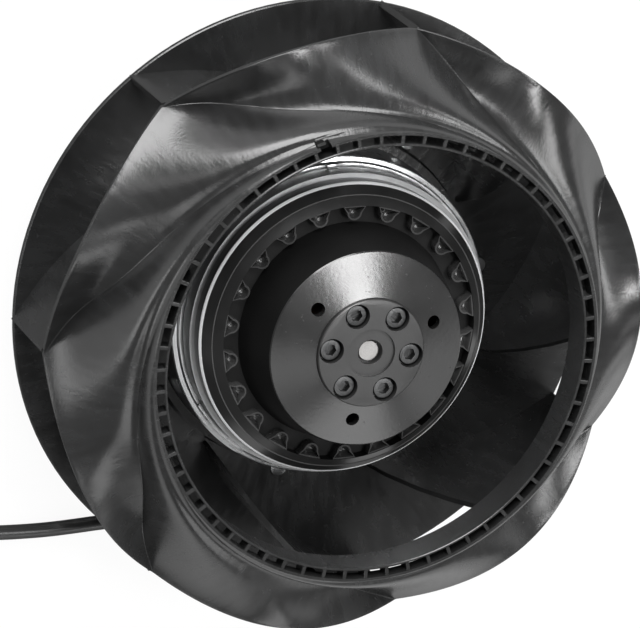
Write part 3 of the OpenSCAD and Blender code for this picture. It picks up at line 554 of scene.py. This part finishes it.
# Notch in the ring's outer wall, its walls and sill painted near black as shade, with the tab in front of it,
# whose sides get painted shade too; the reach holds the faces round it
REACH_IN_R = 80
REACH_SIDE = 12
REACH_DOWN = 3
TOUCH = 1e-6
TAB_EASE = 0.2


def cut_notch(bm):
    out, side = polar_point(1, NOTCH_DIR, 0), polar_point(1, NOTCH_DIR + 90, 0)
    half, sill = NOTCH_W / 2 * MM, (RING_TOP - WEB_H / 2) * MM

    def near(spot):
        beside = abs(spot.dot(side)) < REACH_SIDE * MM
        return spot.dot(out) > REACH_IN_R * MM and beside and spot.z > sill - REACH_DOWN * MM

    cuts = ((side * half, side), (side * -half, side), (Vector((0, 0, sill)), Vector((0, 0, 1))))
    for middle, normal in cuts:
        faces = [f for f in bm.faces if any(near(v.co) for v in f.verts)]
        edges = {e for f in faces for e in f.edges}
        verts = {v for f in faces for v in f.verts}
        bmesh.ops.bisect_plane(bm, geom=faces + list(edges) + list(verts), dist=MERGE, plane_co=middle,
                               plane_no=normal)
    gap = [f for f in bm.faces if near(f.calc_center_median()) and f.calc_center_median().z > sill
           and abs(f.calc_center_median().dot(side)) < half]
    bmesh.ops.delete(bm, geom=gap, context="FACES")
    open_edges = [e for e in bm.edges if e.is_boundary]
    walls = [[e for e in open_edges if all(abs(v.co.dot(side) - level) < TOUCH for v in e.verts)]
             for level in (half, -half)]
    sills = [e for e in open_edges if all(abs(v.co.z - sill) < TOUCH for v in e.verts)]
    for wall in walls:
        corners = {v for e in wall for v in e.verts if abs(v.co.z - sill) < TOUCH}
        step = bm.edges.new(list(corners))
        dull = bmesh.ops.contextual_create(bm, geom=wall + [step])["faces"]
        sills.append(step)
        # Painted shade: the notch's walls and sill get the near-black finish
        for face in dull:
            face.material_index = SHADED
    for face in bmesh.ops.contextual_create(bm, geom=sills)["faces"]:
        face.material_index = SHADED
    bmesh.ops.recalc_face_normals(bm, faces=bm.faces)


def add_tab(bm):
    tab = bmesh.new()
    bmesh.ops.create_cube(tab, size=1)
    bmesh.ops.scale(tab, vec=Vector((TAB_T, TAB_L, TAB_H)) * MM, verts=tab.verts)
    middle = Vector((RING_R + TAB_GAP + TAB_T / 2, TAB_SHIFT, RING_TOP - TAB_SINK - TAB_H / 2))
    bmesh.ops.translate(tab, vec=middle * MM, verts=tab.verts)
    bmesh.ops.bevel(tab, geom=tab.edges[:], offset=TAB_EASE * MM, offset_type="OFFSET", affect="EDGES",
                    segments=2, profile=0.5, material=-1)
    for face in tab.faces:
        # The tab's top keeps the moulding; its sides get painted shade
        face.material_index = MOULDED if face.normal.z > 0.5 else SHADED
    turned = Matrix.Rotation(radians(NOTCH_DIR), 3, "Z")
    bmesh.ops.rotate(tab, cent=(0, 0, 0), matrix=turned, verts=tab.verts)
    append(bm, tab)


# Inner wall of the inlet ring and the webs between its slots
WALL_EASE = 0.25
WALL_STEPS = 189
WEB_EASE = 0.2


def add_ring(bm):
    shoulder = RING_TOP - WALL_EASE
    profile = [(THROAT_R, RING_TOP - THROAT_H), (SLOT_IN_R, RING_TOP - THROAT_H), (SLOT_IN_R, shoulder),
               (SLOT_IN_R - WALL_EASE, RING_TOP), (THROAT_R + WALL_EASE, RING_TOP), (THROAT_R, shoulder)]
    wall = bmesh.new()
    verts = [wall.verts.new((r * MM, 0, z * MM)) for r, z in profile]
    edges = [wall.edges.new((verts[k - 1], verts[k])) for k in range(len(verts))]
    bmesh.ops.spin(wall, geom=verts + edges, cent=(0, 0, 0), axis=(0, 0, 1), dvec=(0, 0, 0), angle=2 * pi,
                   steps=WALL_STEPS, use_merge=True, use_normal_flip=False, use_duplicate=False)
    bmesh.ops.remove_doubles(wall, verts=wall.verts, dist=MERGE)
    bmesh.ops.recalc_face_normals(wall, faces=wall.faces)
    append(bm, wall)
    webs = bmesh.new()
    bmesh.ops.create_cube(webs, size=1)
    length = SLOT_OUT_R - SLOT_IN_R + RING_WALL
    bmesh.ops.scale(webs, vec=Vector((length, WEB_T, WEB_H - 2 * WEB_SINK)) * MM, verts=webs.verts)
    bmesh.ops.translate(webs, vec=Vector(((SLOT_IN_R + SLOT_OUT_R) / 2, 0, RING_TOP - WEB_H / 2)) * MM,
                        verts=webs.verts)
    top = [e for e in webs.edges if min(v.co.z for v in e.verts) > (RING_TOP - WEB_H / 2) * MM]
    bmesh.ops.bevel(webs, geom=top, offset=WEB_EASE * MM, offset_type="OFFSET", affect="EDGES", segments=2,
                    profile=0.5, material=-1)
    bmesh.ops.rotate(webs, cent=(0, 0, 0), matrix=Matrix.Rotation(radians(NOTCH_DIR + 180 / SLOTS), 3, "Z"),
                     verts=webs.verts)
    bmesh.ops.spin(webs, geom=webs.verts[:] + webs.edges[:] + webs.faces[:], cent=(0, 0, 0), axis=(0, 0, 1),
                   dvec=(0, 0, 0), angle=2 * pi * (SLOTS - 1) / SLOTS, steps=SLOTS - 1, use_merge=False,
                   use_normal_flip=False, use_duplicate=True)
    append(bm, webs)


shell = wavy_shell()
cut_notch(shell)
add_tab(shell)
add_ring(shell)
piece("front_shroud_dressed", shell, [WHEEL_BLACK, NOTCH_SHADE], "wheel_body",
      ["front_shroud"], 16)

# Rotor bell: rounded rim of bare steel, near white partly as a painted highlight, satin side, channel painted
# near black as shade, and balancing cups with a bowl in each, painted lighter than the coat as light on them
CHANNEL_R = 48.2
CHANNEL_IN_R = 36.3
CHANNEL_OUT_R = 48.3
CHANNEL_Z = 58
DOME_TOP = 78.5
DOME_R = 42
BAND_OUT_R = 54.2
SIDE_LOW = 51.5
RIM_LOW = 55.4
RIM_EDGE_R = 54
RIM_EDGE_Z = (55.5, 56.8)
BELL_EASE = 0.3
PAD_R = (42.4, 48.4)
PAD_Z = (58.02, 62.4)
PAD_BACK_R = 48
CUPS = 22
CUP_START = 94.7
CUP_HALF = 4.65
CUP_NOSE_R = 2.9
CUP_NOSE_IN = 2.7
CUP_BITE = 0.15
CUP_ARC_STEPS = 12
BELL_FINISHES = [BELL_BLACK, RIM_STEEL_HIGHLIGHT, SIDE_STEEL, CHANNEL_SHADE, BAND_BLACK, CUP_PAINTED_LIGHT]
BELL, RIM, SIDE, CHANNEL, BAND, CUP = range(6)
# Inset and rise of the curves that a cup is skinned over, from its foot outside to its bowl inside
CUP_ROWS = ((0, -0.1), (0, 4.0), (0.15, 4.2), (0.75, 4.2), (0.9, 4.0), (1.15, 2.6), (1.7, 1.6), (2.3, 1.2))


def cup_curve(inset, rise):
    wide, back, nose = CUP_HALF - inset, CHANNEL_R + CUP_BITE - inset, CUP_NOSE_R - inset
    turns = [-pi / 2 - pi * k / CUP_ARC_STEPS for k in range(CUP_ARC_STEPS + 1)]
    inner = [(CHANNEL_R - CUP_NOSE_IN + nose * cos(a), nose * sin(a)) for a in turns]
    return [(x, y, CHANNEL_Z + rise) for x, y in [(back, -wide)] + inner + [(back, wide)]]


def balancing_cups():
    bm = bmesh.new()
    rows = [[bm.verts.new(Vector(spot) * MM) for spot in cup_curve(*row)] for row in CUP_ROWS]
    count = len(rows[0])
    for low, high in zip(rows, rows[1:]):
        for k in range(count):
            bm.faces.new((low[k - 1], low[k], high[k], high[k - 1]))
    bm.faces.new(rows[-1])
    # The cups get the lighter copy of the coat, painted light
    for face in bm.faces:
        face.material_index = CUP
    bmesh.ops.recalc_face_normals(bm, faces=bm.faces)
    turned = Matrix.Rotation(radians(CUP_START), 3, "Z")
    bmesh.ops.rotate(bm, cent=(0, 0, 0), matrix=turned, verts=bm.verts)
    bmesh.ops.spin(bm, geom=bm.verts[:] + bm.edges[:] + bm.faces[:], cent=(0, 0, 0), axis=(0, 0, 1),
                   dvec=(0, 0, 0), angle=2 * pi * (CUPS - 1) / CUPS, steps=CUPS - 1, use_merge=False,
                   use_normal_flip=False, use_duplicate=True)
    return bm


def plain_pad(face):
    spot = face.calc_center_median() / MM
    away = hypot(spot.x, spot.y)
    inward = face.normal.dot(Vector((spot.x, spot.y, 0)).normalized()) < -0.9
    wall = away > PAD_BACK_R and inward
    return PAD_R[0] < away < PAD_R[1] and PAD_Z[0] < spot.z < PAD_Z[1] and not wall


def paint_bell(spot):
    away = hypot(spot.x, spot.y)
    # Painted shade: the channel between dome and band gets the near-black finish
    if CHANNEL_IN_R < away < CHANNEL_OUT_R and spot.z < DOME_TOP:
        return CHANNEL
    if away < DOME_R or spot.z < SIDE_LOW:
        return BELL
    if away < BAND_OUT_R:
        return BAND
    return RIM if spot.z > RIM_LOW else SIDE


def bell():
    bm = merged("rotor_bell")
    bmesh.ops.delete(bm, geom=[f for f in bm.faces if plain_pad(f)], context="FACES")
    low, high = (z * MM for z in RIM_EDGE_Z)
    rim = [e for e in bm.edges if len(e.link_faces) == 2 and e.calc_face_angle(0) > radians(20)
           and all(hypot(v.co.x, v.co.y) > RIM_EDGE_R * MM and low < v.co.z < high for v in e.verts)]
    bmesh.ops.bevel(bm, geom=rim, offset=BELL_EASE * MM, offset_type="OFFSET", affect="EDGES", segments=3,
                    profile=0.5, material=-1, clamp_overlap=True)
    for face in bm.faces:
        face.material_index = paint_bell(face.calc_center_median() / MM)
    for edge in bm.edges:
        edge.smooth = edge.calc_face_angle(0) < radians(18)
    append(bm, balancing_cups())
    piece("rotor_bell_dressed", bm, BELL_FINISHES, "wheel_body", ["rotor_bell"], 40)


bell()

# Visible solids with their finishes
dress("blade_disc", [WHEEL_BLACK], 0.0, None, 20)
dress("carrier_ring", [RING_ZINC], 0.2)
dress("disc_rivets", [RING_ZINC], 0.2)
dress("rotor_core", [LAMINATIONS], 0.0)
dress("rotor_cage", [CASTING], 0.0)
dress("hub_disc", [HUB_BLACK], 0.2, None, 20)
dress("hub_screws", [SCREW_BLACK], 0.12, None, 20)
dress("shaft", [SHAFT_STEEL], 0.0)
dress("motor_flange", [CASTING], 0.0)
dress("rear_cap", [RING_ZINC], 0.0)

# Solids inside the motor keep their own mesh
INNER = {
    "stator_core": LAMINATIONS, "stator_coils": COPPER_WIRE, "front_insulator": INSULATION,
    "rear_insulator": INSULATION, "front_bearing_outer": SPRING_STEEL, "rear_bearing_outer": SPRING_STEEL,
    "front_bearing_inner": SPRING_STEEL, "rear_bearing_inner": SPRING_STEEL,
    "front_bearing_balls": SHAFT_STEEL, "rear_bearing_balls": SHAFT_STEEL, "ball_cages": CAGE_BRASS,
    "bearing_shields": RING_ZINC, "preload_spring": SPRING_STEEL, "connection_board": BOARD_GREEN,
    "board_screws": RING_ZINC, "thermal_protector": INSULATION, "terminal_block": INSULATION,
    "lead_wires": CORE_BROWN, "earth_screw": CAGE_BRASS, "retaining_ring": SCREW_BLACK,
    "front_spacer": RING_ZINC,
}
for node, finish in INNER.items():
    mesh = frame["nodes"][node].data
    mesh.materials.clear()
    mesh.materials.append(finish)


# White floor where it is seen or mirrored, with the object's shadow; in mirrored rays it is painted darker
# near the wheel, a painted shadow
FLOOR_HALF = 6
FLOOR_SHOWN = 0.9
FLOOR_NEAR = 0.1
FLOOR_FAR = 0.3


def floor_finish():
    finish = bpy.data.materials.new("floor_white")
    finish.use_nodes = True
    tree = finish.node_tree
    tree.nodes.clear()
    path = tree.nodes.new("ShaderNodeLightPath")
    seen = Field(tree, path.outputs["Is Camera Ray"])
    mirrored = Field(tree, path.outputs["Is Glossy Ray"])
    through = Field(tree, path.outputs["Is Transmission Ray"])
    white = seen + through
    shown = FLOOR_SHOWN * white.math("MINIMUM", white + mirrored, 1.0)
    matt = seen.node("ShaderNodeBsdfDiffuse", None, {"Color": grey(0.6)})
    place = Field(tree, tree.nodes.new("ShaderNodeTexCoord").outputs["Object"])
    # Painted shadow in reflections: the mirrored floor is dark near the wheel and white further out
    mirrored_shade = place.polar()[0].rise(FLOOR_NEAR, FLOOR_FAR).between(grey(0.1), grey(1.1))
    glow = seen.node("ShaderNodeEmission", None, {"Color": white.between(mirrored_shade, grey(1.04)), "Strength": 1.0})
    blend = seen.node("ShaderNodeMixShader", None, {0: shown, 1: matt, 2: glow})
    output = tree.nodes.new("ShaderNodeOutputMaterial")
    tree.links.new(blend.socket, output.inputs[0])
    return finish


def lay_floor():
    bm = bmesh.new()
    bmesh.ops.create_grid(bm, x_segments=8, y_segments=8, size=FLOOR_HALF)
    mesh = bpy.data.meshes.new("floor")
    bm.to_mesh(mesh)
    bm.free()
    mesh.materials.append(floor_finish())
    floor = bpy.data.objects.new("floor", mesh)
    bpy.context.collection.objects.link(floor)


# Soft studio light: panels at a direction from the wheel's middle, facing it
WHEEL_MIDDLE = Vector((0, 0, 0.06))


def panel(name, direction, distance, width, height, radiance):
    data = bpy.data.lights.new(name, "AREA")
    data.shape = "RECTANGLE"
    data.size = width
    data.size_y = height
    data.energy = radiance * pi * width * height
    lamp = bpy.data.objects.new(name, data)
    bpy.context.collection.objects.link(lamp)
    away = Vector(direction).normalized()
    lamp.location = WHEEL_MIDDLE + away * distance
    lamp.rotation_euler = away.to_track_quat("Z", "Y").to_euler()


def light_studio():
    world = bpy.data.worlds.new("studio")
    world.use_nodes = True
    world.node_tree.nodes["Background"].inputs["Color"].default_value = grey(0.34)
    world.node_tree.nodes["Background"].inputs["Strength"].default_value = 1.0
    bpy.context.scene.world = world
    panel("rear_window", (-0.236, 0.882, 0.407), 2.0, 1.15, 2.2, 12.0)
    panel("left_rear", (-0.65, 0.585, 0.47), 2.0, 0.6, 0.6, 1.2)
    panel("over_hub", (0.26, 0.085, 0.962), 1.6, 0.46, 0.36, 20.0)
    panel("upper_right", (0.45, 0.46, 0.765), 2.1, 0.7, 0.65, 9.0)
    panel("right_side", (0.76, -0.31, 0.57), 2.0, 1.2, 0.5, 1.3)
    panel("right_low", (0.996, -0.05, 0.07), 2.0, 1.6, 0.6, 1.5)
    panel("front_high", (0.24, -0.728, 0.643), 2.0, 1.2, 0.8, 2.7)
    panel("front_top", (-0.013, -0.395, 0.918), 2.0, 0.8, 0.5, 1.1)
    panel("front_low", (0.34, -0.935, 0.1), 2.0, 2.0, 0.5, 0.8)
    panel("left_low", (-0.998, 0.04, 0.03), 2.0, 1.2, 0.9, 3.8)
    panel("over_left", (-0.29, -0.405, 0.866), 1.8, 0.5, 0.4, 3.2)


lay_floor()
light_studio()
bpy.context.scene.view_settings.view_transform = "Standard"
